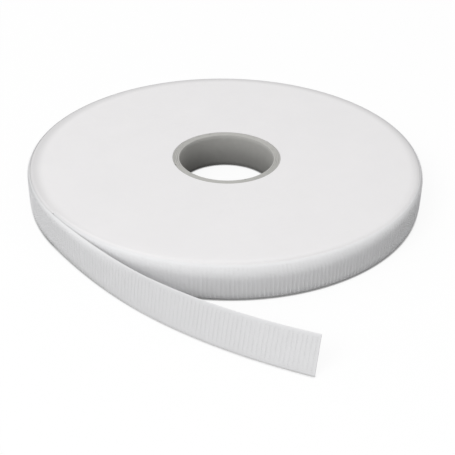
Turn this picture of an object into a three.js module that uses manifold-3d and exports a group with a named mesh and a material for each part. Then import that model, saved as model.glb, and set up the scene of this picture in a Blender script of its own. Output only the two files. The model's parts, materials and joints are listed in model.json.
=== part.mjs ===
// A roll of woven hook tape on a paperboard core. It lies flat, with its free end peeled off the front.
// Millimetres. Z is the axis of the roll, and z = 0 is halfway across the width of the tape.

import * as THREE from 'three';
import { mergeVertices } from 'three/addons/utils/BufferGeometryUtils.js';
import Module from 'manifold-3d';

// The tape, and the gap that is left between two wound turns.
const TAPE_WIDTH = 20;
const TAPE_THICKNESS = 0.95;
const TURN_GAP = 0.47;

// The winding. The roll's radius is to the outer face of the tape, at the angle where the free end leaves.
const ROLL_RADIUS = 111.1;
const OUTER_TURNS = 20;
const TURN_STEPS = 45;
const TAIL_ANGLE = -139.13;

// The free end, in links as long as a step of the winding. Each turns less than a wound step would,
// and they lean back towards the roll by degrees, up to TAIL_LEAN at the cut.
const TAIL_LINKS = 10;
const TAIL_BEND = 3.2165;
const TAIL_LEAN = 20;
const LINK_GAP = 0.4;

// The core, a spiral-wound tube of board plies. Every ply has one slanted butt seam.
const BORE_RADIUS = 26.8;
const PLY_COUNT = 4;
const PLY_THICKNESS = 0.87;
const PLY_GAP = 0.1;
const CORE_INSET = 0.2;
const CORE_STEPS = 48;
const SEAM_GAP = 0.3;
const SEAM_SLOPE = 33;
const SEAM_ANGLE = -100;
const SEAM_STAGGER = 90;

// The tab of adhesive tape that starts the winding on the core.
const TAB_THICKNESS = 0.2;
const TAB_WIDTH = 16;
const TAB_STEPS = 10;
const TAB_CLEARANCE = 0.15;

const TURN_PITCH = TAPE_THICKNESS + TURN_GAP;
const CORE_RADIUS = BORE_RADIUS + PLY_COUNT * PLY_THICKNESS + (PLY_COUNT - 1) * PLY_GAP;
const CORE_LENGTH = TAPE_WIDTH - 2 * CORE_INSET;
const PACK_BORE = CORE_RADIUS + TAB_THICKNESS + 2 * TAB_CLEARANCE;
const FIRST_STEP = -OUTER_TURNS * TURN_STEPS;

const tape = new THREE.MeshStandardMaterial({ color: 0xefeeec, roughness: 0.8, metalness: 0 });
const board = new THREE.MeshStandardMaterial({ color: 0xb9b7b2, roughness: 0.95, metalness: 0 });
const adhesive = new THREE.MeshStandardMaterial({ color: 0xd8cfae, roughness: 0.5, metalness: 0 });

const manifold = await Module();
manifold.setup();

const radians = THREE.MathUtils.degToRad;

function polar(radius, angle) {
  return new THREE.Vector2(radius * Math.cos(angle), radius * Math.sin(angle));
}

// Corners of a circle with the core's steps, from one step to another
function arc(radius, from, to) {
  const points = [];
  for (let i = from; i <= to; i++) {
    points.push(polar(radius, (2 * Math.PI * i) / CORE_STEPS));
  }
  return points;
}

// A flat outline stood up along Z, halved by z = 0
function upright(outline, height) {
  const solid = new THREE.ExtrudeGeometry(outline, { depth: height, bevelEnabled: false });
  solid.translate(0, 0, -height / 2);
  return solid;
}

function ringOutline(inner, outer) {
  const outline = new THREE.Shape(arc(outer, 0, CORE_STEPS - 1));
  outline.holes.push(new THREE.Path(arc(inner, 0, CORE_STEPS - 1)));
  return outline;
}

function toSolid(geometry) {
  const bare = new THREE.BufferGeometry();
  bare.setAttribute('position', geometry.getAttribute('position'));
  bare.setIndex(geometry.index);
  const joined = mergeVertices(bare, 1e-5);
  const mesh = new manifold.Mesh({
    numProp: 3,
    vertProperties: new Float32Array(joined.getAttribute('position').array),
    triVerts: new Uint32Array(joined.index.array),
  });
  return new manifold.Manifold(mesh);
}

function cutFrom(geometry, tool) {
  const mesh = toSolid(geometry).subtract(toSolid(tool)).getMesh();
  const result = new THREE.BufferGeometry();
  result.setAttribute('position', new THREE.BufferAttribute(mesh.vertProperties, 3));
  result.setIndex(new THREE.BufferAttribute(mesh.triVerts, 1));
  result.computeVertexNormals();
  return result;
}

// A corner of the winding. Step 0 is where the free end leaves, and inner turns have negative steps.
function windingPoint(step, offset) {
  const radius = ROLL_RADIUS - TAPE_THICKNESS / 2 + (TURN_PITCH * step) / TURN_STEPS;
  return polar(radius + offset, radians(TAIL_ANGLE) + (2 * Math.PI * step) / TURN_STEPS);
}

// A point on a face of the tape between two corners
function facePoint(step, offset) {
  const before = Math.floor(step);
  return windingPoint(before, offset).lerp(windingPoint(before + 1, offset), step - before);
}

function stepLength(step) {
  return windingPoint(step, 0).distanceTo(windingPoint(step - 1, 0));
}

function corePly(index) {
  const inner = BORE_RADIUS + index * (PLY_THICKNESS + PLY_GAP);
  const outer = inner + PLY_THICKNESS;
  const tube = upright(ringOutline(inner, outer), CORE_LENGTH);
  const run = CORE_LENGTH / Math.sin(radians(SEAM_SLOPE));
  const seam = new THREE.BoxGeometry(0.4 * outer, SEAM_GAP, 1.2 * run);
  seam.rotateX(radians(SEAM_SLOPE - 90));
  seam.translate(0.9 * outer, 0, 0);
  seam.rotateZ(radians(SEAM_ANGLE + index * SEAM_STAGGER));
  return cutFrom(tube, seam);
}

function startTab() {
  const inner = CORE_RADIUS + TAB_CLEARANCE;
  const outline = [...arc(inner + TAB_THICKNESS, 0, TAB_STEPS), ...arc(inner, 0, TAB_STEPS).reverse()];
  return upright(new THREE.Shape(outline), TAB_WIDTH);
}

// The inner turns as one pack. Its rim is the turn on which the outer turns begin, with a step at its end.
function innerTurns() {
  const rim = [];
  for (let step = FIRST_STEP - TURN_STEPS; step <= FIRST_STEP; step++) {
    rim.push(windingPoint(step, TAPE_THICKNESS / 2));
  }
  const outline = new THREE.Shape(rim);
  outline.holes.push(new THREE.Path(arc(PACK_BORE, 0, CORE_STEPS - 1)));
  return upright(outline, TAPE_WIDTH);
}

// The outer turns as one unbroken ribbon
function outerTurns() {
  const steps = [];
  for (let step = FIRST_STEP; step <= 0; step++) {
    steps.push(step);
  }
  steps[0] += LINK_GAP / stepLength(FIRST_STEP);
  steps[steps.length - 1] -= LINK_GAP / 2 / stepLength(0);
  const outer = steps.map((step) => windingPoint(step, TAPE_THICKNESS / 2));
  const inner = steps.map((step) => windingPoint(step, -TAPE_THICKNESS / 2)).reverse();
  return upright(new THREE.Shape([...outer, ...inner]), TAPE_WIDTH);
}

// Least distance from points on the ribbon's inner face to points on the turn below
function leastTurnGap() {
  let least = Infinity;
  for (let step = FIRST_STEP + TURN_STEPS + 1; step <= 0; step += 0.25) {
    const point = facePoint(step, -TAPE_THICKNESS / 2);
    for (let shift = -1; shift <= 1; shift += 0.125) {
      const below = facePoint(step - TURN_STEPS + shift, TAPE_THICKNESS / 2);
      least = Math.min(least, point.distanceTo(below));
    }
  }
  return least;
}

// Height of the middle of the free end, so that its lower edge stays just clear of the roll's base plane
function tailHeight(lean) {
  return (TAPE_WIDTH / 2) * (Math.cos(lean) - 1) + TAPE_THICKNESS * Math.sin(lean);
}

// The links of the free end, from the roll to the cut
function tailLinks() {
  const links = [];
  const wound = windingPoint(0, 0).sub(windingPoint(-1, 0));
  const foot = windingPoint(0, 0);
  let start = new THREE.Vector3(foot.x, foot.y, 0);
  for (let i = 1; i <= TAIL_LINKS; i++) {
    const length = stepLength(i);
    const heading = wound.angle() + i * radians(TAIL_BEND);
    const drop = tailHeight((radians(TAIL_LEAN) * i) / TAIL_LINKS) - start.z;
    const reach = Math.sqrt(length * length - drop * drop);
    const run = new THREE.Vector3(reach * Math.cos(heading), reach * Math.sin(heading), drop);
    const along = run.clone().normalize();
    const lean = (radians(TAIL_LEAN) * (i - 0.5)) / TAIL_LINKS;
    const inward = new THREE.Vector3(-Math.sin(heading), Math.cos(heading), 0);
    const up = new THREE.Vector3(0, 0, Math.cos(lean)).addScaledVector(inward, Math.sin(lean));
    up.addScaledVector(along, -up.dot(along)).normalize();
    const side = new THREE.Vector3().crossVectors(up, along);
    const place = new THREE.Matrix4().makeBasis(along, side, up);
    place.setPosition(start.clone().addScaledVector(run, 0.5));
    const link = new THREE.BoxGeometry(length - LINK_GAP, TAPE_THICKNESS, TAPE_WIDTH);
    links.push(link.applyMatrix4(place));
    start = start.clone().add(run);
  }
  return links;
}

const roll = new THREE.Group();
roll.name = 'hook_tape_roll';

function add(name, geometry, material) {
  const mesh = new THREE.Mesh(geometry, material);
  mesh.name = name;
  roll.add(mesh);
}

for (let i = 0; i < PLY_COUNT; i++) {
  add(`core_ply_${i + 1}`, corePly(i), board);
}
add('start_tab', startTab(), adhesive);
add('inner_turns', innerTurns(), tape);
add('outer_turns', outerTurns(), tape);
tailLinks().forEach((link, i) => {
  add(`tail_${String(i + 1).padStart(2, '0')}`, link, tape);
});

console.log(`outer_turns: least gap to itself ${leastTurnGap().toFixed(3)} mm`);

export default roll;
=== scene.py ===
"""Roll of woven hook tape on a paperboard core, with its free end peeled off the front.

Sizes are in metres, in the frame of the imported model: Z is the axis of the roll, and z = 0 is
halfway across the tape. The file is laid out as an add-on and run as a script.
"""

import json
import math

import bmesh
import bpy
import numpy as np
from bpy.props import FloatProperty, FloatVectorProperty, IntProperty, PointerProperty
from mathutils import Matrix, Vector


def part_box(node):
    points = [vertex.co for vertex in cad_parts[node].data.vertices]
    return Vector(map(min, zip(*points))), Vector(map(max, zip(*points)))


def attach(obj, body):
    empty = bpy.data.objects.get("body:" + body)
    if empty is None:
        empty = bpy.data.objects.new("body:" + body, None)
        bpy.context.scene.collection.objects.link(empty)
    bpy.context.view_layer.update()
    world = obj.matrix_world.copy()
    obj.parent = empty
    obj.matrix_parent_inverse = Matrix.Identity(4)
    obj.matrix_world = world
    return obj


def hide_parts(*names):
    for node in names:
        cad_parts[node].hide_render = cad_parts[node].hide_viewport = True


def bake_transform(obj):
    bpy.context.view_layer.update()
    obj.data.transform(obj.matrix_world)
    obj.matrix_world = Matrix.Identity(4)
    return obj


bl_info = {
    "name": "Hook tape roll",
    "version": (1, 0, 0),
    "blender": (4, 5, 0),
    "location": "3D View > Sidebar > Hook tape roll",
    "description": "Builds a roll of woven hook tape on a paperboard core",
    "category": "Object",
}

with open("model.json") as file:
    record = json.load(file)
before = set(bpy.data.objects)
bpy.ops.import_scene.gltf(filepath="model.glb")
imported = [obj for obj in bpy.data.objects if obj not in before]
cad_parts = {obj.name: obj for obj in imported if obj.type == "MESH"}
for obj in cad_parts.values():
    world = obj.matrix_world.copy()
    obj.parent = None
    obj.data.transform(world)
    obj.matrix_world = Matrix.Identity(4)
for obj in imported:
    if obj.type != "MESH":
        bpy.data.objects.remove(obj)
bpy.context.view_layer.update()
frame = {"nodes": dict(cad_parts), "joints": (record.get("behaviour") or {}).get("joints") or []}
TAPE_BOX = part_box("inner_turns")
FLOOR = TAPE_BOX[0][2]
TAIL_JOINTS = [joint for joint in frame["joints"] if joint["name"].startswith("tail_bend_")]


# Sizes and colours


class TapeSettings(bpy.types.PropertyGroup):
    """The tape as it is woven, before it is wound"""

    width: FloatProperty(
        name="Width",
        description="Width of the tape, edge to edge",
        default=TAPE_BOX[1][2] - TAPE_BOX[0][2],
        unit="LENGTH",
    )
    ground: FloatProperty(
        name="Ground thickness",
        description="Thickness of the woven ground that carries the hooks",
        default=0.00045,
        unit="LENGTH",
    )
    outer_face: FloatProperty(
        name="Outer face",
        description="Height of the solid tape's outer face above its middle",
        default=0.000475,
        unit="LENGTH",
    )
    hook_height: FloatProperty(
        name="Hook height",
        description="Height of a hook above the ground",
        default=0.0005,
        unit="LENGTH",
    )
    hook_reach: FloatProperty(
        name="Hook reach",
        description="How far a hook bends over, along the tape",
        default=0.0005,
        unit="LENGTH",
    )
    wire: FloatProperty(
        name="Hook wire radius",
        description="Radius of the monofilament that a hook is made of",
        default=0.00008,
        unit="LENGTH",
    )
    row_pitch: FloatProperty(
        name="Row pitch",
        description="Distance from one row of hooks to the next, along the tape",
        default=0.0022,
        unit="LENGTH",
    )
    hooks_per_row: IntProperty(
        name="Hooks in a row",
        description="Hooks across the tape",
        default=23,
    )
    hook_spacing: FloatProperty(
        name="Hook spacing",
        description="Distance from one hook to the next, across the tape",
        default=0.00074,
        unit="LENGTH",
    )
    # The rim's dimming is painted shade where the drawn-in edge turns from the light, not a thin
    # backing of nylon
    rim_painted_shade: FloatProperty(
        name="Rim brightness",
        description="Brightness of the drawn-in edge, where little nylon backs the tape",
        default=0.82,
        subtype="FACTOR",
    )
    colour: FloatVectorProperty(
        name="Tape colour",
        description="Colour of the nylon",
        default=(0.826, 0.826, 0.834),
        subtype="COLOR",
    )
    selvedge_colour: FloatVectorProperty(
        name="Selvedge colour",
        description="Colour of the wound edges, a little warmer",
        default=(0.842, 0.831, 0.836),
        subtype="COLOR",
    )


class RollSettings(bpy.types.PropertyGroup):
    """The wound turns"""

    radius: FloatProperty(
        name="Radius",
        description="Radius of the middle of the tape where it leaves the roll",
        default=0.110603,
        unit="LENGTH",
    )
    turn_pitch: FloatProperty(
        name="Turn pitch",
        description="Radial build of one turn",
        default=0.00142,
        unit="LENGTH",
    )
    inner_radius: FloatProperty(
        name="Inner radius",
        description="Radius from which the spiral grows. "
        "The first turn is flattened against the core",
        default=0.030391,
        unit="LENGTH",
    )
    core_face: FloatProperty(
        name="Core face",
        description="Radius of the first turn's inner face, clear of the tab on the core",
        default=0.031,
        unit="LENGTH",
    )
    selvedge: FloatProperty(
        name="Selvedge",
        description="Width of the strip along each edge that closes on the core beside the tab",
        default=0.0018,
        unit="LENGTH",
    )
    turn_gap: FloatProperty(
        name="Gap between turns",
        description="Clear gap left between two wound turns",
        default=0.000002,
        unit="LENGTH",
    )
    unevenness: FloatProperty(
        name="Unevenness",
        description="How far single turns stand above or below the others",
        default=0.00006,
        unit="LENGTH",
    )
    loose_turns: FloatProperty(
        name="Loose turns",
        description="Outermost turns that have come loose, and stand up, where the tape leaves",
        default=3.0,
    )
    loose_rise: FloatProperty(
        name="Loose rise",
        description="How far the loose turns stand up, above the others",
        default=0.0003,
        unit="LENGTH",
    )
    swell: FloatProperty(
        name="Swell",
        description="How far the outermost turns stand out beside the place where the tape leaves",
        default=0.0005,
        unit="LENGTH",
    )
    swell_angle: FloatProperty(
        name="Swell place",
        description="Where the outermost turns stand out most, round from +X",
        default=math.radians(176.0),
        subtype="ANGLE",
    )
    crown_radius: FloatProperty(
        name="Crown radius",
        description="Radius to which the outermost turn's upper edge is drawn in, on average",
        default=0.0041,
        unit="LENGTH",
    )
    crown_swing: FloatProperty(
        name="Crown swing",
        description="Ratio by which that radius is larger where the roll is softest, "
        "and smaller opposite",
        default=2.1,
    )
    foot_radius: FloatProperty(
        name="Foot radius",
        description="Radius to which the outermost turn's lower edge is drawn in",
        default=0.012,
        unit="LENGTH",
    )
    foot_bend: FloatProperty(
        name="Foot bend",
        description="Angle by which the lower edge leans in",
        default=math.radians(22.0),
        subtype="ANGLE",
    )
    soft_angle: FloatProperty(
        name="Soft side",
        description="Where the roll is softest, round from +X",
        default=math.radians(-80.0),
        subtype="ANGLE",
    )
    crown_bend: FloatProperty(
        name="Crown bend",
        description="Angle by which the upper edge leans in",
        default=math.radians(56.0),
        subtype="ANGLE",
    )
    crown_turns: FloatProperty(
        name="Crown depth",
        description="Turns over which the drawing-in dies away",
        default=3.2,
    )
    leave_angle: FloatProperty(
        name="Leaving angle",
        description="Where the free end leaves the roll, round from +X",
        default=math.radians(-144.64),
        subtype="ANGLE",
    )


class TailSettings(bpy.types.PropertyGroup):
    """The free end of the tape"""

    length: FloatProperty(
        name="Length",
        description="Length of the free end, from the roll to the cut",
        default=0.1668,
        unit="LENGTH",
    )
    arc_radius: FloatProperty(
        name="Arc radius",
        description="Radius of the curve that the free end keeps",
        default=0.2802,
        unit="LENGTH",
    )
    bulge: FloatProperty(
        name="Bulge",
        description="How far the middle of the free end stands out from its even arc",
        default=0.0008,
        unit="LENGTH",
    )
    crown_length: FloatProperty(
        name="Crown length",
        description="Length along which the drawn-in edge flattens out",
        default=0.08,
        unit="LENGTH",
    )
    lean: FloatProperty(
        name="Lean",
        description="How far the cut end leans back towards the roll",
        default=math.radians(20.0),
        subtype="ANGLE",
    )


class CoreSettings(bpy.types.PropertyGroup):
    """The paperboard core"""

    bore_radius: FloatProperty(
        name="Bore radius",
        description="Inside radius of the core",
        default=0.0268,
        unit="LENGTH",
    )
    length: FloatProperty(
        name="Length",
        description="Length of the core along its axis",
        default=0.0196,
        unit="LENGTH",
    )
    plies: IntProperty(
        name="Plies",
        description="Board plies in the wall",
        default=4,
    )
    ply_thickness: FloatProperty(
        name="Ply thickness",
        description="Thickness of one board ply",
        default=0.00087,
        unit="LENGTH",
    )
    ply_gap: FloatProperty(
        name="Ply gap",
        description="Gap between two plies",
        default=0.0001,
        unit="LENGTH",
    )
    outer_radius: FloatProperty(
        name="Outer radius",
        description="Outside radius of the core",
        default=0.03058,
        unit="LENGTH",
    )
    seam_gap: FloatProperty(
        name="Seam gap",
        description="Gap at the butt seam of a ply",
        default=0.0003,
        unit="LENGTH",
    )
    seam_slope: FloatProperty(
        name="Seam slope",
        description="Slope of the seams from level",
        default=math.radians(33.0),
        subtype="ANGLE",
    )
    seam_angle: FloatProperty(
        name="Seam angle",
        description="Where the innermost ply's seam crosses the middle, round from +X",
        default=math.radians(-100.0),
        subtype="ANGLE",
    )
    colour: FloatVectorProperty(
        name="Board colour",
        description="Colour of the grey board",
        default=(0.48, 0.475, 0.456),
        subtype="COLOR",
    )
    liner_top: FloatProperty(
        name="Liner brightness, top",
        description="Brightness of the innermost face at its upper end, next to the cut board",
        default=0.9,
        subtype="FACTOR",
    )
    # The innermost face's fall to this brightness at its foot is painted shade of the bore
    liner_foot_shade: FloatProperty(
        name="Liner brightness, foot",
        description="Brightness of the innermost face at its lower end, where it is soiled",
        default=0.5,
        subtype="FACTOR",
    )


class StageSettings(bpy.types.PropertyGroup):
    """Camera, light and floor"""

    camera_place: FloatVectorProperty(
        name="Camera",
        description="Place of the camera",
        default=(0.00003, -0.48717, 0.27282),
        subtype="XYZ",
    )
    camera_aim: FloatVectorProperty(
        name="Aim",
        description="Point that the camera looks at",
        default=(0.00105, -0.05904, 0.0),
        subtype="XYZ",
    )
    camera_roll: FloatProperty(
        name="Camera roll",
        description="Turn of the camera about its line of sight",
        default=math.radians(0.912),
        subtype="ANGLE",
    )
    lens: FloatProperty(
        name="Lens",
        description="Focal length on a 36 mm sensor, in millimetres",
        default=77.06,
    )
    sky: FloatProperty(
        name="Sky light",
        description="Strength of the even light from all sides",
        default=0.71,
    )
    key: FloatProperty(
        name="Key light",
        description="Power of the large lamp at the front left",
        default=23.0,
        unit="POWER",
    )


class HookTapeRoll(bpy.types.PropertyGroup):
    """All settings of the roll"""

    tape: PointerProperty(type=TapeSettings)
    roll: PointerProperty(type=RollSettings)
    tail: PointerProperty(type=TailSettings)
    core: PointerProperty(type=CoreSettings)
    stage: PointerProperty(type=StageSettings)


def settings():
    return bpy.context.scene.hook_tape_roll


# Shared helpers


def new_piece(name, mesh, materials):
    """A finished mesh as a piece of the object, at the origin."""
    mesh.name = name
    # Clearing the materials also clears the faces' choice of them
    chosen = np.empty(len(mesh.polygons), np.int32)
    mesh.polygons.foreach_get("material_index", chosen)
    mesh.materials.clear()
    for material in materials:
        mesh.materials.append(material)
    mesh.polygons.foreach_set("material_index", chosen)
    piece = bpy.data.objects.new(name, mesh)
    bpy.context.scene.collection.objects.link(piece)
    return piece


def mesh_from(points, faces):
    """A smooth mesh whose faces all look outwards."""
    mesh = bpy.data.meshes.new("piece")
    mesh.from_pydata([tuple(point) for point in points], [], faces)
    sheet = bmesh.new()
    sheet.from_mesh(mesh)
    bmesh.ops.recalc_face_normals(sheet, faces=sheet.faces)
    sheet.to_mesh(mesh)
    sheet.free()
    mesh.shade_smooth()
    return mesh


def tube_faces(steps, count):
    """Faces of a tube of so many steps, with so many points round it, closed at both ends."""
    faces = []
    for i in range(steps):
        for j in range(count):
            k = (j + 1) % count
            faces.append((i * count + j, i * count + k, (i + 1) * count + k, (i + 1) * count + j))
    faces.append(tuple(range(count)))
    faces.append(tuple(steps * count + j for j in range(count)))
    return faces


def vertex_places(mesh):
    places = np.empty(len(mesh.vertices) * 3)
    mesh.vertices.foreach_get("co", places)
    return places.reshape(-1, 3)


def move_vertices(mesh, places):
    mesh.vertices.foreach_set("co", places.ravel())
    mesh.update()


def smooth(share):
    """A share from 0 to 1 with an even start and end."""
    return share * share * (3 - 2 * share)


def turned_from(angle, place):
    """Angle from a place round the roll, between half a turn back and half a turn on."""
    return (angle - place + math.pi) % (2 * math.pi) - math.pi


def grown_mesh(tree, values):
    """The mesh that a geometry node tree gives for these inputs."""
    carrier = bpy.data.objects.new("carrier", bpy.data.meshes.new("carrier"))
    bpy.context.scene.collection.objects.link(carrier)
    modifier = carrier.modifiers.new("Grow", "NODES")
    modifier.node_group = tree
    for socket in tree.interface.items_tree:
        if socket.in_out == "INPUT" and socket.name in values:
            modifier[socket.identifier] = values[socket.name]
    carrier.update_tag()
    depsgraph = bpy.context.evaluated_depsgraph_get()
    mesh = bpy.data.meshes.new_from_object(carrier.evaluated_get(depsgraph))
    carrier.modifiers.remove(modifier)
    empty = carrier.data
    bpy.data.objects.remove(carrier)
    bpy.data.meshes.remove(empty)
    return mesh


class Tree:
    """Adds and joins nodes in a geometry or shader tree."""

    spacing = 180

    def __init__(self, tree):
        self.tree = tree
        self.column = 0

    def add(self, kind, inputs=None, **options):
        node = self.tree.nodes.new(kind)
        node.location = (self.column * self.spacing, 0)
        self.column += 1
        for option, value in options.items():
            setattr(node, option, value)
        for socket, value in (inputs or {}).items():
            self.put(node, socket, value)
        return node

    def put(self, node, socket, value):
        if isinstance(value, bpy.types.NodeSocket):
            self.tree.links.new(value, node.inputs[socket])
        else:
            node.inputs[socket].default_value = value

    def math(self, operation, *values):
        node = self.add("ShaderNodeMath", operation=operation)
        for place, value in enumerate(values):
            self.put(node, place, value)
        return node.outputs[0]

    def vector(self, operation, *values):
        node = self.add("ShaderNodeVectorMath", operation=operation)
        for place, value in enumerate(values):
            self.put(node, place, value)
        return node.outputs["Value" if operation in ("LENGTH", "DOT_PRODUCT") else 0]

    def point(self, **axes):
        return self.add("ShaderNodeCombineXYZ", axes).outputs[0]

    def object_place(self):
        return self.add("ShaderNodeTexCoord").outputs["Object"]


def bare_tree(owner):
    """Tools for the empty node tree of a material or a world."""
    owner.use_nodes = True
    owner.node_tree.nodes.clear()
    return Tree(owner.node_tree)


def node_tree(name, **sockets):
    """A geometry node tree with these inputs of each kind, as (tools, the inputs' sockets)."""
    tree = bpy.data.node_groups.new(name, "GeometryNodeTree")
    for kind, names in sockets.items():
        for socket in names:
            tree.interface.new_socket(
                name=socket, in_out="INPUT", socket_type=f"NodeSocket{kind}"
            )
    tree.interface.new_socket(name="Mesh", in_out="OUTPUT", socket_type="NodeSocketGeometry")
    tools = Tree(tree)
    return tools, tools.add("NodeGroupInput").outputs


def close_tree(tools, geometry, material):
    """Ends a tree in real faces with their material."""
    real = tools.add("GeometryNodeRealizeInstances", {"Geometry": geometry})
    painted = tools.add(
        "GeometryNodeSetMaterial", {"Geometry": real.outputs[0], "Material": material}
    )
    tools.add("NodeGroupOutput", {"Mesh": painted.outputs[0]})
    return tools.tree


# Finishes


WHITE = (1.0, 1.0, 1.0, 1.0)
TAB_COLOUR = (0.68, 0.6, 0.42)

# Multiplier that leaves out the height of a place
LEVEL = (1.0, 1.0, 0.0)

# Where painted shade dims the drawn-in edge, which turns away from the light: radii on the wound
# edges, and places across the outermost turn. Along that turn the painted shade dies out where the
# tape peels off, and round the roll towards its softest place, by the cosine of the angle to it.
RIM_SHADE_BAND = (0.102, 0.1085)
EDGE_SHADE_BAND = (0.0055, 0.0085)
PEEL_SHADE_BAND = (-0.02, 0.04)
SOFT_SHADE_BAND = (0.0, 0.9)

# Weave of the ground, and its share in the relief
WEFTS_PER_ROW = 4
WARP_PITCH = 0.0006
WEAVE_SHARE = 0.5

# What makes up the grey of the board: mottling and pulp, then both together and the specks.
# Last the depths between which the innermost face ends, which carries painted shade of the bore.
MOTTLE_SHARE = 0.6
PULP_SHARE = 0.4
BOARD_SHARE = 0.8
SPECK_SHARE = 0.25
LINER_SKIN = (0.00005, 0.00025)


def new_material(name, roughness, specular=0.5):
    material = bpy.data.materials.new(name)
    tools = bare_tree(material)
    shader = tools.add(
        "ShaderNodeBsdfPrincipled", {"Roughness": roughness, "Specular IOR Level": specular}
    )
    output = tools.add("ShaderNodeOutputMaterial")
    tools.put(output, "Surface", shader.outputs["BSDF"])
    return material, tools, shader


def tinted(tools, shader, colour, amount, spread, share=1.0):
    """Base colour varied a little by a value from 0 to 1, and dimmed by a share."""
    ramp = tools.add(
        "ShaderNodeMapRange", {"Value": amount, "To Min": 1 - spread, "To Max": 1 + spread}
    )
    scaled = tools.vector("SCALE", tuple(colour))
    tools.put(scaled.node, "Scale", tools.math("MULTIPLY", ramp.outputs[0], share))
    tools.put(shader, "Base Color", scaled)


def noise(tools, vector, scale, detail, roughness=0.5):
    return tools.add(
        "ShaderNodeTexNoise",
        {"Vector": vector, "Scale": scale, "Detail": detail, "Roughness": roughness},
    ).outputs["Fac"]


def bumped(tools, shader, height, strength, distance):
    bump = tools.add(
        "ShaderNodeBump", {"Height": height, "Strength": strength, "Distance": distance}
    )
    tools.put(shader, "Normal", bump.outputs[0])


def eased(tools, value, start, end, low, high):
    """A value that goes smoothly from low at start to high at end."""
    return tools.add(
        "ShaderNodeMapRange",
        {"Value": value, "From Min": start, "From Max": end, "To Min": low, "To Max": high},
        interpolation_type="SMOOTHSTEP",
    ).outputs[0]


def painted_rim_shade(tools, edge):
    """Painted shade on the drawn-in edge, which fades out towards the side where the roll is
    softest.
    """
    tape, roll = settings().tape, settings().roll
    bearing = tools.vector("NORMALIZE", tools.vector("MULTIPLY", tools.object_place(), LEVEL))
    soft = (math.cos(roll.soft_angle), math.sin(roll.soft_angle), 0.0)
    shade_weight = eased(tools, tools.vector("DOT_PRODUCT", bearing, soft), *SOFT_SHADE_BAND, 1.0, 0.0)
    amount = tools.math("MULTIPLY", tools.math("MULTIPLY", edge, shade_weight), tape.rim_painted_shade - 1)
    return tools.math("ADD", amount, 1.0)


def ground_finish():
    """Woven nylon ground: plain weave along and across the tape, read from its own UV map."""
    tape = settings().tape
    material, tools, shader = new_material("woven_ground", roughness=0.75, specular=0.25)
    place = tools.add("ShaderNodeUVMap", uv_map="tape").outputs[0]
    along, across, _ = tools.add("ShaderNodeSeparateXYZ", {0: place}).outputs
    wefts = 2 * math.pi * WEFTS_PER_ROW / tape.row_pitch
    weft = tools.math("SINE", tools.math("MULTIPLY", along, wefts))
    warp = tools.math("SINE", tools.math("MULTIPLY", across, 2 * math.pi / WARP_PITCH))
    weave = tools.math("MULTIPLY", weft, warp)
    fibre = noise(tools, place, scale=9000.0, detail=2.0)
    height = tools.math("MULTIPLY_ADD", weave, WEAVE_SHARE, fibre)
    drift = noise(tools, place, scale=60.0, detail=4.0)
    # Painted shade on the drawn-in upper edge while it is wound, dying out where the tape peels
    # off
    edge = eased(tools, across, *EDGE_SHADE_BAND, 0.0, 1.0)
    wound = eased(tools, along, *PEEL_SHADE_BAND, 1.0, 0.0)
    rim = painted_rim_shade(tools, tools.math("MULTIPLY", edge, wound))
    tinted(tools, shader, tape.colour, drift, spread=0.02, share=rim)
    bumped(tools, shader, height, strength=0.35, distance=0.00008)
    return material


def hook_finish():
    """Smooth nylon monofilament."""
    tape = settings().tape
    material, tools, shader = new_material("hook_monofilament", roughness=0.6)
    drift = noise(tools, tools.object_place(), scale=400.0, detail=2.0)
    tinted(tools, shader, tape.colour, drift, spread=0.02)
    return material


def wound_finish():
    """Edges of the wound turns: matt woven selvedges with a fine nap."""
    tape = settings().tape
    material, tools, shader = new_material("wound_selvedges", roughness=0.85, specular=0.25)
    place = tools.object_place()
    away = tools.vector("LENGTH", tools.vector("MULTIPLY", place, LEVEL))
    # Painted shade towards the rim of the wound edges
    rim = painted_rim_shade(tools, eased(tools, away, *RIM_SHADE_BAND, 0.0, 1.0))
    drift = noise(tools, place, scale=45.0, detail=5.0, roughness=0.6)
    tinted(tools, shader, tape.selvedge_colour, drift, spread=0.025, share=rim)
    nap = noise(tools, place, scale=2600.0, detail=3.0, roughness=0.65)
    bumped(tools, shader, nap, strength=0.25, distance=0.0001)
    return material


def board_finish():
    """Grey recycled board: mottled pulp with pale and dark fibres, in layers where it is cut."""
    core = settings().core
    material, tools, shader = new_material("grey_board", roughness=0.92, specular=0.1)
    place = tools.object_place()
    mottle = noise(tools, place, scale=260.0, detail=5.0, roughness=0.65)
    pulp = noise(tools, place, scale=1700.0, detail=4.0, roughness=0.7)
    flecks = tools.add(
        "ShaderNodeTexVoronoi", {"Vector": place, "Scale": 1500.0, "Randomness": 1.0}
    ).outputs["Distance"]
    speck = tools.add(
        "ShaderNodeMapRange", {"Value": flecks, "From Min": 0.05, "From Max": 0.2}
    ).outputs[0]
    amount = tools.math("MULTIPLY", mottle, MOTTLE_SHARE)
    amount = tools.math("MULTIPLY_ADD", pulp, PULP_SHARE, amount)
    amount = tools.math("MULTIPLY", amount, BOARD_SHARE)
    amount = tools.math("MULTIPLY_ADD", speck, SPECK_SHARE, amount)
    away = tools.vector("LENGTH", tools.vector("MULTIPLY", place, LEVEL))
    level = tools.add("ShaderNodeSeparateXYZ", {0: place}).outputs[2]
    half = core.length / 2
    # Painted shade of the bore: the innermost face grows darker towards its foot
    darkened = eased(tools, level, -half, half, core.liner_foot_shade, core.liner_top)
    skin = [core.bore_radius + depth for depth in LINER_SKIN]
    liner = eased(tools, away, *skin, darkened, 1.0)
    tinted(tools, shader, core.colour, amount, spread=0.16, share=liner)
    bumped(tools, shader, pulp, strength=0.5, distance=0.00012)
    return material


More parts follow.
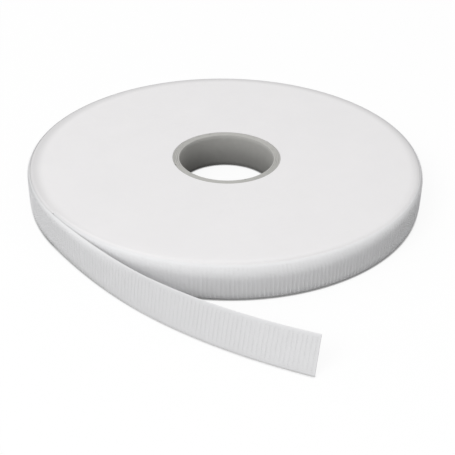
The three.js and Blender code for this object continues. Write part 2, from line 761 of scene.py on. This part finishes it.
def tab_finish():
    """Cream adhesive tape with a fine crepe."""
    material, tools, shader = new_material("adhesive_tab", roughness=0.5)
    stretched = tools.add(
        "ShaderNodeMapping", {"Vector": tools.object_place(), "Scale": (1.0, 1.0, 0.15)}
    )
    crepe = noise(tools, stretched.outputs[0], scale=1800.0, detail=3.0)
    tinted(tools, shader, TAB_COLOUR, crepe, spread=0.06)
    bumped(tools, shader, crepe, strength=0.4, distance=0.00008)
    return material


# The tape


# Power that keeps the soft side of the roll narrow, and least share of a bend
SOFT_POWER = 3
LEAST_SHARE = 0.001

# The loose turns, as angles from where the tape leaves, and the turns over which they rise
LOOSE_AHEAD = math.radians(8)
LOOSE_HALF = math.radians(50)
LOOSE_FADE = math.radians(30)
RISING_TURNS = 3

# Half the angle over which the outermost turns stand out, and the turns over which that dies away
SWELL_HALF = math.radians(45)
SWELL_TURNS = 4

# How the free end's lean grows along it, and the lift of its foot in heights of the outer face
LEAN_POWER = 1.15
FOOT_LIFT = 3

# Section of the ground: shares of the widest crown, then the thin edge as (inside, out) places
CROWN_SHARES = (1.0, 0.85, 0.7, 0.56, 0.44, 0.33, 0.23)
THIN_EDGE = ((0.0009, 0.0), (0.0004, -0.00006), (0.0001, -0.00015))

# Steps of the ground from one row of hooks to the next, its last row's distance from an end,
# and the small waves of its edges
GROUND_STEPS = 3
LAST_ROW = 0.00002
WAVE = 0.00004
WAVE_WIDTH = 0.0008

# A hook's bend as shares of its reach and height, its root in the ground, and how far it is turned
HOOK_BACK = -0.15
HOOK_TOP = 1.75
HOOK_TIP = 0.4
HOOK_ROOT = -0.00004
HOOK_TURN = 0.12

# Pieces that hold the wound turn's hooks, and the seed of the free end's first piece
HOOK_PIECES = 3
TAIL_SEED = 10

# The ribbon's points in a turn, and the noise by which its turns stand up or down
TURN_POINTS = 128
TURN_VARIETY = 900.0
WANDER_SCALE = 1.3

# How the ribbon lies against the outermost turn and on the core
UNDER_TURNS = 0.25
UNDER_DROP = 0.6
CORE_CLEARANCE = 0.00002
CORE_FADE = 0.004
ROUNDING = 1e-6


def drawn_in(across, angle, share):
    """Inset, height and tilt across a wound tape, whose edges are drawn in."""
    tape, roll = settings().tape, settings().roll
    soft = ((1 + np.cos(angle - roll.soft_angle)) / 2) ** SOFT_POWER
    crown = roll.crown_radius * roll.crown_swing ** (2 * soft - 1)
    radius = np.where(across > 0, crown, roll.foot_radius)
    flat = tape.width / 2 - radius * np.where(across > 0, roll.crown_bend, roll.foot_bend)
    bend = radius / np.maximum(share, LEAST_SHARE)
    tilt = np.clip(np.abs(across) - flat, 0, None) / bend
    height = np.minimum(np.abs(across), flat) + bend * np.sin(tilt)
    side = np.sign(across)
    return bend * (1 - np.cos(tilt)), side * height, side * tilt


def loosened(angle):
    """How loose the outermost turns are, from 0 to 1: most of all where the tape leaves."""
    away = turned_from(angle, settings().roll.leave_angle + LOOSE_AHEAD)
    return smooth(np.clip((LOOSE_HALF - np.abs(away)) / LOOSE_FADE, 0, 1))


def swollen(angle, depth=0.0):
    """How far a turn stands out at an angle, at a depth of so many turns under the rim."""
    roll = settings().roll
    near = np.clip(1 - np.abs(turned_from(angle, roll.swell_angle)) / SWELL_HALF, 0, 1)
    return roll.swell * smooth(near) * np.exp(-np.clip(depth, 0, None) / SWELL_TURNS)


def tape_place(along, out, across):
    """Points of the tape as it lies: wound on the roll where along is below zero, free above it.

    along is the length from where the tape leaves the roll, out the height off the middle of
    the tape, away from the roll, and across the place from one edge to the other.
    """
    tape, roll, tail = settings().tape, settings().roll, settings().tail
    along, out, across = (np.asarray(value, float) for value in (along, out, across))
    turned = along / roll.radius
    angle = roll.leave_angle + turned
    held_share = 1 - smooth(np.clip(along / tail.crown_length, 0, 1))
    inset, height, tilt = drawn_in(across, angle, held_share)
    upper = np.clip(across / (tape.width / 2), 0, 1)
    across = height + out * np.sin(tilt) + roll.loose_rise * loosened(angle) * held_share * upper
    out = out * np.cos(tilt) - inset

    radius = roll.radius + roll.turn_pitch * turned / (2 * math.pi) + swollen(angle) + out
    wound = np.stack([radius * np.cos(angle), radius * np.sin(angle), across], 1)

    bearing = roll.leave_angle + along / tail.arc_radius
    offset = roll.radius + tape.outer_face - tail.arc_radius
    share = np.clip(along / tail.length, 0, 1)
    lean = tail.lean * share**LEAN_POWER
    rise = across + tape.width / 2
    side = out - tape.outer_face
    reach = tail.arc_radius - rise * np.sin(lean) + side * np.cos(lean)
    reach = reach + tail.bulge * np.sin(math.pi * share) ** 2
    lift = FOOT_LIFT * tape.outer_face * np.sin(lean)
    free = np.stack(
        [
            offset * math.cos(roll.leave_angle) + reach * np.cos(bearing),
            offset * math.sin(roll.leave_angle) + reach * np.sin(bearing),
            FLOOR + rise * np.cos(lean) + side * np.sin(lean) + lift,
        ],
        1,
    )
    return np.where((along < 0)[:, None], wound, free)


def along_tail(point):
    """Length along the free end at which a point lies."""
    tape, roll, tail = settings().tape, settings().roll, settings().tail
    offset = roll.radius + tape.outer_face - tail.arc_radius
    x = point[0] - offset * math.cos(roll.leave_angle)
    y = point[1] - offset * math.sin(roll.leave_angle)
    return tail.arc_radius * (math.atan2(y, x) - roll.leave_angle)


def ground_outline():
    """Section of the woven ground as (across, out) points, with thin rounded edges."""
    tape, roll = settings().tape, settings().roll
    half, low = tape.width / 2, -tape.ground
    widest = roll.crown_radius * roll.crown_swing * roll.crown_bend
    edge = [(half - share * widest, 0.0) for share in CROWN_SHARES]
    edge += [(half - inside, out) for inside, out in THIN_EDGE]
    edge.append((half, low / 2))
    edge += [(across, low - out) for across, out in reversed(edge[:-1])]
    return edge + [(-across, out) for across, out in reversed(edge)]


def ground_strip(start, end):
    """Woven ground from one length along the tape to another, as a closed mesh with a UV map."""
    tape = settings().tape
    steps = max(2, round((end - start) / (tape.row_pitch / GROUND_STEPS)))
    lengths = np.linspace(start, end, steps + 1)
    # A last row close to each end keeps the cap from tilting the shading of the faces
    lengths = np.sort(np.append(lengths, [start + LAST_ROW, end - LAST_ROW]))
    steps = len(lengths) - 1
    outline = np.array(ground_outline())
    count = len(outline)
    along = np.repeat(lengths, count)
    across = np.tile(outline[:, 0], steps + 1)
    out = np.tile(outline[:, 1], steps + 1)
    edge = np.clip((np.abs(across) - tape.width / 2 + WAVE_WIDTH) / WAVE_WIDTH, 0, 1)
    wave = WAVE * np.cos(2 * math.pi * along / tape.row_pitch) * edge
    points = tape_place(along, out, across + np.sign(across) * (wave - WAVE))
    mesh = mesh_from(points, tube_faces(steps, count))
    place = mesh.uv_layers.new(name="tape")
    corners = np.empty(len(mesh.loops), int)
    mesh.loops.foreach_get("vertex_index", corners)
    flat = np.stack([along, across], 1)[corners]
    place.data.foreach_set("uv", flat.astype(np.float32).ravel())
    return mesh


def hook_tree():
    """Rows of hooks on a flat tape: X along it, Y across it and Z up off the ground."""
    tools, given = node_tree(
        "Hook rows",
        Int=("Rows", "Hooks", "Seed"),
        Float=("Pitch", "Spacing", "Start", "Height", "Reach", "Wire"),
        Material=("Material",),
    )
    span = tools.math("MULTIPLY", tools.math("SUBTRACT", given["Rows"], 1.0), given["Pitch"])
    breadth = tools.math("MULTIPLY", tools.math("SUBTRACT", given["Hooks"], 1.0), given["Spacing"])
    grid = tools.add(
        "GeometryNodeMeshGrid",
        {
            "Size X": span,
            "Size Y": breadth,
            "Vertices X": given["Rows"],
            "Vertices Y": given["Hooks"],
        },
    )
    middle = tools.math("MULTIPLY_ADD", span, 0.5, given["Start"])
    moved = tools.add(
        "GeometryNodeTransform",
        {"Geometry": grid.outputs["Mesh"], "Translation": tools.point(X=middle)},
    )
    # A hook rises, bends over along the tape and ends short of the ground
    top = tools.point(
        X=tools.math("MULTIPLY", given["Reach"], HOOK_BACK),
        Z=tools.math("MULTIPLY", given["Height"], HOOK_TOP),
    )
    tip = tools.point(X=given["Reach"], Z=tools.math("MULTIPLY", given["Height"], HOOK_TIP))
    bend = tools.add(
        "GeometryNodeCurveQuadraticBezier",
        {"Resolution": 6, "Start": (0.0, 0.0, HOOK_ROOT), "Middle": top, "End": tip},
    )
    wire = tools.add(
        "GeometryNodeCurvePrimitiveCircle",
        {"Resolution": 4, "Radius": given["Wire"]},
        mode="RADIUS",
    )
    hook = tools.add(
        "GeometryNodeCurveToMesh",
        {"Curve": bend.outputs[0], "Profile Curve": wire.outputs[0], "Fill Caps": True},
    )
    # Hooks of neighbouring columns face opposite ways
    index = tools.add("GeometryNodeInputIndex").outputs[0]
    side = tools.math("MODULO", tools.math("MODULO", index, given["Hooks"]), 2.0)
    jitter = tools.add(
        "FunctionNodeRandomValue",
        {"Min": -HOOK_TURN, "Max": HOOK_TURN, "Seed": given["Seed"]},
        data_type="FLOAT",
    )
    facing = tools.math("MULTIPLY_ADD", side, math.pi, jitter.outputs["Value"])
    placed = tools.add(
        "GeometryNodeInstanceOnPoints",
        {
            "Points": moved.outputs[0],
            "Instance": hook.outputs[0],
            "Rotation": tools.point(Z=facing),
        },
    )
    rounded = tools.add("GeometryNodeSetShadeSmooth", {"Geometry": placed.outputs[0]})
    return close_tree(tools, rounded.outputs[0], given["Material"])


def hook_rows(tree, start, end, material, seed):
    """Hooks from one length along the tape to another, set on the tape as it lies."""
    tape = settings().tape
    first = math.ceil(start / tape.row_pitch)
    last = math.ceil(end / tape.row_pitch) - 1
    mesh = grown_mesh(
        tree,
        {
            "Rows": last - first + 1,
            "Hooks": tape.hooks_per_row,
            "Pitch": tape.row_pitch,
            "Spacing": tape.hook_spacing,
            "Start": first * tape.row_pitch,
            "Height": tape.hook_height,
            "Reach": tape.hook_reach,
            "Wire": tape.wire,
            "Seed": seed,
            "Material": material,
        },
    )
    along, across, out = vertex_places(mesh).T
    move_vertices(mesh, tape_place(along, out, across))
    return mesh


def winding_tree():
    """The wound turns as one spiral ribbon, with turns that stand a little up or down."""
    tools, given = node_tree(
        "Wound turns",
        Float=(
            "Turns", "Inner Radius", "Outer Radius", "Start Angle",
            "Thickness", "Width", "Selvedge", "Unevenness",
        ),
        Material=("Material",),
    )
    spiral = tools.add(
        "GeometryNodeCurveSpiral",
        {
            "Resolution": TURN_POINTS,
            "Rotations": given["Turns"],
            "Start Radius": given["Inner Radius"],
            "End Radius": given["Outer Radius"],
            "Height": 0.0,
            "Reverse": True,
        },
    )
    turned = tools.add(
        "GeometryNodeTransform",
        {"Geometry": spiral.outputs[0], "Rotation": tools.point(Z=given["Start Angle"])},
    )
    place = tools.add("GeometryNodeInputPosition").outputs[0]
    radius = tools.vector("LENGTH", place)
    bearing = tools.vector("NORMALIZE", place)
    level = tools.point(Z=tools.math("MULTIPLY", radius, TURN_VARIETY))
    wander = noise(tools, tools.vector("ADD", bearing, level), WANDER_SCALE, detail=1.0)
    height = tools.math("MULTIPLY", tools.math("SUBTRACT", wander, 0.5), given["Unevenness"])
    uneven = tools.add(
        "GeometryNodeSetPosition",
        {"Geometry": turned.outputs[0], "Offset": tools.point(Z=height)},
    )
    upright = tools.add("GeometryNodeSetCurveNormal", {"Curve": uneven.outputs[0]}, mode="Z_UP")
    # The section is an oblong with a corner at each edge and a point where each selvedge begins
    eight = tools.add(
        "GeometryNodeCurvePrimitiveCircle", {"Resolution": 8, "Radius": 1.0}, mode="RADIUS"
    )
    turned_eight = tools.add(
        "GeometryNodeTransform",
        {"Geometry": eight.outputs[0], "Rotation": (0.0, 0.0, math.pi / 8)},
    )
    spot = tools.add("GeometryNodeInputPosition").outputs[0]
    x, y, _ = tools.add("ShaderNodeSeparateXYZ", {0: spot}).outputs
    half_width = tools.math("MULTIPLY", given["Width"], 0.5)
    half_thickness = tools.math("MULTIPLY", given["Thickness"], 0.5)
    inner = tools.math("LESS_THAN", tools.math("ABSOLUTE", y), math.sin(math.pi / 4))
    across = tools.math("SUBTRACT", half_width, tools.math("MULTIPLY", inner, given["Selvedge"]))
    corner = tools.point(
        X=tools.math("MULTIPLY", tools.math("SIGN", x), half_thickness),
        Y=tools.math("MULTIPLY", tools.math("SIGN", y), across),
    )
    section = tools.add(
        "GeometryNodeSetPosition", {"Geometry": turned_eight.outputs[0], "Position": corner}
    )
    ribbon = tools.add(
        "GeometryNodeCurveToMesh",
        {"Curve": upright.outputs[0], "Profile Curve": section.outputs[0], "Fill Caps": True},
    )
    flat = tools.add(
        "GeometryNodeSetShadeSmooth", {"Geometry": ribbon.outputs[0], "Shade Smooth": False}
    )
    return close_tree(tools, flat.outputs[0], given["Material"])


def wound_ribbon(material):
    """All wound turns under the outermost one, as one ribbon that ends where the tape leaves."""
    tape, roll = settings().tape, settings().roll
    inner, outer = roll.inner_radius, roll.radius - roll.turn_pitch
    thickness = roll.turn_pitch - roll.turn_gap
    middle = thickness / 2 - tape.ground
    turns = (outer - inner) / roll.turn_pitch
    return grown_mesh(
        winding_tree(),
        {
            "Turns": turns,
            "Inner Radius": inner + middle,
            "Outer Radius": outer + middle,
            "Start Angle": roll.leave_angle - 2 * math.pi * turns,
            "Thickness": thickness,
            "Width": tape.width - roll.unevenness,
            "Selvedge": roll.selvedge,
            "Unevenness": roll.unevenness,
            "Material": material,
        },
    )


def settle_turns(mesh):
    """Draws in the edges of the turns near the rim, lifts the loose ones and closes the core."""
    tape, roll, core = settings().tape, settings().roll, settings().core
    x, y, z = vertex_places(mesh).T
    radius, angle = np.hypot(x, y), np.arctan2(y, x)
    back = (roll.leave_angle - angle) % (2 * math.pi)
    rim = roll.radius - roll.turn_pitch * back / (2 * math.pi)
    depth = (rim - tape.ground - radius) / roll.turn_pitch
    inset, height, tilt = drawn_in(z, angle, np.exp(-np.clip(depth, 0, None) / roll.crown_turns))
    # The face under the outermost turn lies against it
    under = tape.ground * np.exp(-np.clip(depth, 0, None) / UNDER_TURNS)
    inset = inset - under * (1 - np.cos(tilt))
    height = height - UNDER_DROP * under * np.sin(tilt)
    near = np.clip((roll.loose_turns - depth) / RISING_TURNS, 0, 1)
    height = height + roll.loose_rise * loosened(angle) * smooth(near) * (z > 0)

    # The first turn is flattened on the core, and the edges of the next ones close in on it
    second_turn = roll.inner_radius - tape.ground + roll.turn_pitch - roll.turn_gap
    radius = np.where(radius < second_turn - ROUNDING, roll.core_face, radius)
    core_gap = roll.core_face - core.outer_radius - CORE_CLEARANCE
    at_edge = np.abs(z) > tape.width / 2 - roll.selvedge / 2
    inset = inset + core_gap * at_edge * np.exp((roll.core_face - radius) / CORE_FADE)
    radius = radius - inset + swollen(angle, depth)
    move_vertices(mesh, np.stack([radius * np.cos(angle), radius * np.sin(angle), height], 1))


def joined(first, second):
    """Two meshes as one. The second keeps its UV map and takes the second material."""
    first.uv_layers.new(name="tape")
    for face in second.polygons:
        face.material_index = 1
    both = bmesh.new()
    both.from_mesh(first)
    both.from_mesh(second)
    both.to_mesh(first)
    both.free()
    bpy.data.meshes.remove(second)
    return first


class HOOKTAPE_OT_wound_turns(bpy.types.Operator):
    """Wind the tape on the core, and set hooks on the outermost turn"""

    bl_idname = "hooktape.wound_turns"
    bl_label = "Wound turns"

    def execute(self, context):
        tape, roll = settings().tape, settings().roll
        start, end = -2 * math.pi * roll.radius, tail_spans()[0][0]
        selvedges = wound_finish()
        mesh = wound_ribbon(selvedges)
        settle_turns(mesh)
        mesh = joined(mesh, ground_strip(start, end))
        turns = new_piece("wound_turns", mesh, [selvedges, ground_finish()])

        material = hook_finish()
        tree = hook_tree()
        hooks = []
        cuts = np.linspace(start, end, HOOK_PIECES + 1)
        for i in range(HOOK_PIECES):
            rows = hook_rows(tree, cuts[i], cuts[i + 1], material, i)
            hooks.append(new_piece(f"wound_hooks_{i + 1}", rows, [material]))
        for piece in [turns, *hooks]:
            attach(piece, "roll")
        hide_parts("inner_turns", "outer_turns")
        return {"FINISHED"}


def tail_spans():
    """(start, end, point before, point after) of the tail's pieces, one at each joint."""
    joints = np.array([along_tail(joint["pos_m"]) for joint in TAIL_JOINTS])
    half = (joints[-1] - joints[0]) / (len(joints) - 1) / 2
    cuts = [joints[0] - half, *(joints[:-1] + joints[1:]) / 2, settings().tail.length]
    spans = []
    for i, joint in enumerate(joints):
        before, after = tape_place([joint - half, joint + half], [0, 0], [0, 0])
        spans.append((cuts[i], cuts[i + 1], before, after))
    return spans


class HOOKTAPE_OT_tail(bpy.types.Operator):
    """Make the free end of the tape, cut into a piece at each of its joints"""

    bl_idname = "hooktape.tail"
    bl_label = "Free end"

    def execute(self, context):
        ground_material = bpy.data.materials["woven_ground"]
        hook_material = bpy.data.materials["hook_monofilament"]
        tree = bpy.data.node_groups["Hook rows"]
        for i, (start, end, before, after) in enumerate(tail_spans()):
            number = f"{i + 1:02d}"
            ground = new_piece(
                f"tail_ground_{number}", ground_strip(start, end), [ground_material]
            )
            hooks = new_piece(
                f"tail_hooks_{number}",
                hook_rows(tree, start, end, hook_material, TAIL_SEED + i),
                [hook_material],
            )
            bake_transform(ground)
            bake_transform(hooks)
            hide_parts(f"tail_{number}")
        return {"FINISHED"}


# The core


# A ply's points round and up, its bevel, the angle from seam to seam, and the wear of its cut
# ends: a share of the height and the waves round the core
PLY_STEPS = 180
PLY_LEVELS = 8
PLY_BEVEL = 0.00012
SEAM_STAGGER = math.pi / 2
WEAR = 0.0012
WEAR_WAVES = (9, 23)


def core_ply(index):
    """One board ply: a strip bent round into a tube, with a slanted butt seam."""
    core = settings().core
    inner = core.bore_radius + index * (core.ply_thickness + core.ply_gap)
    outer = inner + core.ply_thickness
    half, soft = core.length / 2, PLY_BEVEL
    rise = (core.length - 2 * soft) / PLY_LEVELS
    levels = [half - soft - rise * i for i in range(PLY_LEVELS + 1)]
    outline = [(inner + soft, half), (outer - soft, half)]
    outline += [(outer, level) for level in levels]
    outline += [(outer - soft, -half), (inner + soft, -half)]
    outline += [(inner, level) for level in reversed(levels)]
    seam_at = core.seam_angle + index * SEAM_STAGGER
    open_angle = core.seam_gap / outer
    long_wave, short_wave = WEAR_WAVES
    points = []
    for i in range(PLY_STEPS + 1):
        turned = open_angle / 2 + (2 * math.pi - open_angle) * i / PLY_STEPS
        for radius, level in outline:
            slant = math.asin(level / math.tan(core.seam_slope) / outer)
            angle = seam_at + slant + turned
            wear = math.sin(long_wave * angle + index) * math.sin(short_wave * angle + 2 * index)
            height = level * (1 + WEAR * wear) if abs(level) == half else level
            points.append((radius * math.cos(angle), radius * math.sin(angle), height))
    return mesh_from(points, tube_faces(PLY_STEPS, len(outline)))


class HOOKTAPE_OT_core(bpy.types.Operator):
    """Wind the plies of the paperboard core"""

    bl_idname = "hooktape.core"
    bl_label = "Core"

    def execute(self, context):
        material = board_finish()
        for i in range(settings().core.plies):
            piece = new_piece(f"board_ply_{i + 1}", core_ply(i), [material])
            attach(piece, "roll")
            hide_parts(f"core_ply_{i + 1}")
        return {"FINISHED"}


class HOOKTAPE_OT_start_tab(bpy.types.Operator):
    """Finish the adhesive tab that starts the tape on the core"""

    bl_idname = "hooktape.start_tab"
    bl_label = "Start tab"

    def execute(self, context):
        tab = frame["nodes"]["start_tab"]
        tab.data.materials.clear()
        tab.data.materials.append(tab_finish())
        return {"FINISHED"}


# The stage


# Half the floor's width, its grey in bounced light, and the share of white that the camera sees
FLOOR_HALF = 3.0
FLOOR_BOUNCE = (0.2, 0.2, 0.2, 1.0)
FLOOR_WHITE_SHARE = 0.9

KEY_PLACE = (-1.15, -1.37, 1.6)
KEY_AIM = (0.0, -0.03, 0.0)
KEY_SIZE = 1.3

# The painted contact shadow, a dark line where the object meets the floor: its reach, the openness
# between which it fades, and its brightness
CONTACT_REACH = 0.0015
CONTACT_OPEN = (0.4, 0.95)
CONTACT_LEVEL = 0.2


def seen_directly(tools):
    """1 where the camera sees a thing itself, or through gloss or glass, and 0 for other light."""
    seen = tools.add("ShaderNodeLightPath").outputs
    direct = tools.math("MAXIMUM", seen["Is Camera Ray"], seen["Is Glossy Ray"])
    return tools.math("MAXIMUM", direct, seen["Is Transmission Ray"])


def floor_finish():
    """Pale floor that shows white to the camera and keeps the object's soft shadow."""
    material = bpy.data.materials.new("pale_floor")
    tools = bare_tree(material)
    matt = tools.add("ShaderNodeBsdfDiffuse", {"Color": FLOOR_BOUNCE})
    pale = tools.add("ShaderNodeBsdfDiffuse", {"Color": WHITE})
    # Painted contact shadow: the white that the camera sees darkens close to the object
    contact = tools.add("ShaderNodeAmbientOcclusion", {"Distance": CONTACT_REACH}, samples=8)
    level = eased(tools, contact.outputs["AO"], *CONTACT_OPEN, CONTACT_LEVEL, 1.0)
    white = tools.add("ShaderNodeEmission", {"Color": WHITE, "Strength": level})
    shaded = tools.add(
        "ShaderNodeMixShader", {0: FLOOR_WHITE_SHARE, 1: pale.outputs[0], 2: white.outputs[0]}
    )
    mixed = tools.add(
        "ShaderNodeMixShader", {0: seen_directly(tools), 1: matt.outputs[0], 2: shaded.outputs[0]}
    )
    tools.add("ShaderNodeOutputMaterial", {"Surface": mixed.outputs[0]})
    return material


def sky(strength):
    """Even light from all sides, white where the camera sees it."""
    world = bpy.data.worlds.new("studio")
    tools = bare_tree(world)
    soft = tools.add("ShaderNodeBackground", {"Color": WHITE, "Strength": strength})
    white = tools.add("ShaderNodeBackground", {"Color": WHITE, "Strength": 1.0})
    mixed = tools.add(
        "ShaderNodeMixShader", {0: seen_directly(tools), 1: soft.outputs[0], 2: white.outputs[0]}
    )
    tools.add("ShaderNodeOutputWorld", {"Surface": mixed.outputs[0]})
    return world


def area_lamp(name, place, aim, size, power):
    data = bpy.data.lights.new(name, "AREA")
    data.shape = "DISK"
    data.size = size
    data.energy = power
    lamp = bpy.data.objects.new(name, data)
    lamp.location = place
    lamp.rotation_mode = "QUATERNION"
    lamp.rotation_quaternion = (Vector(aim) - Vector(place)).to_track_quat("-Z", "Y")
    bpy.context.scene.collection.objects.link(lamp)


class HOOKTAPE_OT_stage(bpy.types.Operator):
    """Set the floor, the light and the camera"""

    bl_idname = "hooktape.stage"
    bl_label = "Stage"

    def execute(self, context):
        stage = settings().stage
        scene = context.scene
        scene.view_settings.view_transform = "Standard"

        corners = [(-1, -1), (1, -1), (1, 1), (-1, 1)]
        ground = mesh_from(
            [(FLOOR_HALF * x, FLOOR_HALF * y, FLOOR) for x, y in corners], [(0, 1, 2, 3)]
        )
        ground.materials.append(floor_finish())
        floor = bpy.data.objects.new("floor", ground)
        scene.collection.objects.link(floor)

        scene.world = sky(stage.sky)
        area_lamp("key_lamp", KEY_PLACE, KEY_AIM, KEY_SIZE, stage.key)

        place, aim = Vector(stage.camera_place), Vector(stage.camera_aim)
        back = (place - aim).normalized()
        right = Vector((0, 0, 1)).cross(back).normalized()
        up = back.cross(right)
        swing = stage.camera_roll
        across = right * math.cos(swing) + up * math.sin(swing)
        above = up * math.cos(swing) - right * math.sin(swing)
        data = bpy.data.cameras.new("camera")
        data.lens = stage.lens
        data.sensor_width = 36.0
        data.clip_start = 0.01
        camera = bpy.data.objects.new("camera", data)
        turn = Matrix((across, above, back)).transposed().to_4x4()
        camera.matrix_world = Matrix.Translation(place) @ turn
        scene.collection.objects.link(camera)
        scene.camera = camera
        return {"FINISHED"}


class HOOKTAPE_PT_parts(bpy.types.Panel):
    """The pieces of the roll, in the order they are made"""

    bl_idname = "HOOKTAPE_PT_parts"
    bl_label = "Hook tape roll"
    bl_space_type = "VIEW_3D"
    bl_region_type = "UI"
    bl_category = "Hook tape roll"

    def draw(self, context):
        for operator in OPERATORS:
            self.layout.operator(operator.bl_idname)
        for group in ("tape", "roll", "tail", "core", "stage"):
            box = self.layout.box()
            values = getattr(settings(), group)
            for name in values.__annotations__:
                box.prop(values, name)


OPERATORS = (
    HOOKTAPE_OT_core,
    HOOKTAPE_OT_start_tab,
    HOOKTAPE_OT_wound_turns,
    HOOKTAPE_OT_tail,
    HOOKTAPE_OT_stage,
)
CLASSES = (
    TapeSettings,
    RollSettings,
    TailSettings,
    CoreSettings,
    StageSettings,
    HookTapeRoll,
    *OPERATORS,
    HOOKTAPE_PT_parts,
)


def register():
    for cls in CLASSES:
        bpy.utils.register_class(cls)
    bpy.types.Scene.hook_tape_roll = PointerProperty(type=HookTapeRoll)


def unregister():
    del bpy.types.Scene.hook_tape_roll
    for cls in reversed(CLASSES):
        bpy.utils.unregister_class(cls)


def main():
    register()
    bpy.ops.hooktape.stage()
    bpy.ops.hooktape.core()
    bpy.ops.hooktape.start_tab()
    bpy.ops.hooktape.wound_turns()
    bpy.ops.hooktape.tail()


if __name__ == "__main__":
    main()
